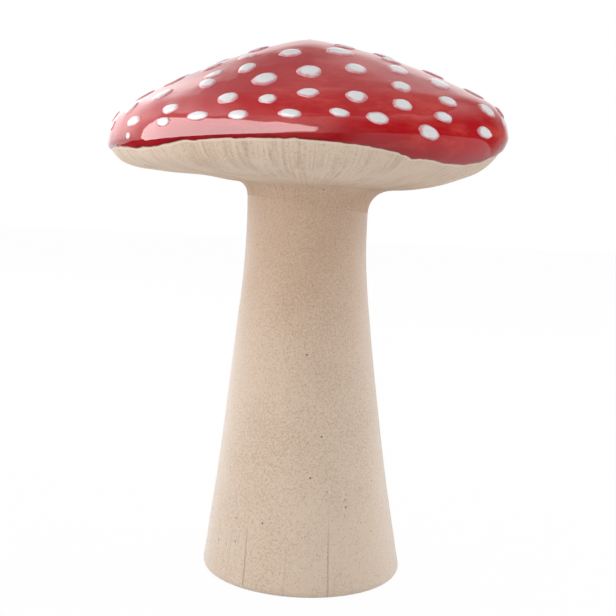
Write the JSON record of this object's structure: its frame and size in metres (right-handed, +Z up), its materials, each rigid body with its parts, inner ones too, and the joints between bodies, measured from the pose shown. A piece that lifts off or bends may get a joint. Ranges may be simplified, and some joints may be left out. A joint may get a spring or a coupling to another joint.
{
  "type": "ceramic mushroom ornament",
  "caption": "Free-standing ceramic mushroom with a tapering unglazed stem and a broad domed cap in red glaze with raised white dots.",
  "frame": {"origin": "under the middle of the cap, on the plane that the foot rests on", "axes": "+Z up from the foot, +X to the right and -Y towards the viewer of the picture; the foot stands 4.3 mm to the right of the origin because the stem leans"},
  "size_m": [0.1503, 0.1502, 0.2042],
  "materials": {
    "bisque": "matte, sandy, unglazed buff clay",
    "slip": "matte fired joining slip",
    "red_glaze": "glossy red glaze, thinner and paler on edges",
    "white_glaze": "glossy raised white glaze, pink at its edges"
  },
  "bodies": {
    "root": {"stem_shell": "bisque", "neck_lute": "slip", "cap_underside": "bisque", "rim_lute": "slip", "cap_dome": "bisque", "glaze_coat": "red_glaze", "crown_dots": "white_glaze", "upper_dots": "white_glaze", "middle_dots": "white_glaze", "lower_dots": "white_glaze", "rim_dots": "white_glaze"}
  },
  "joints": []
}
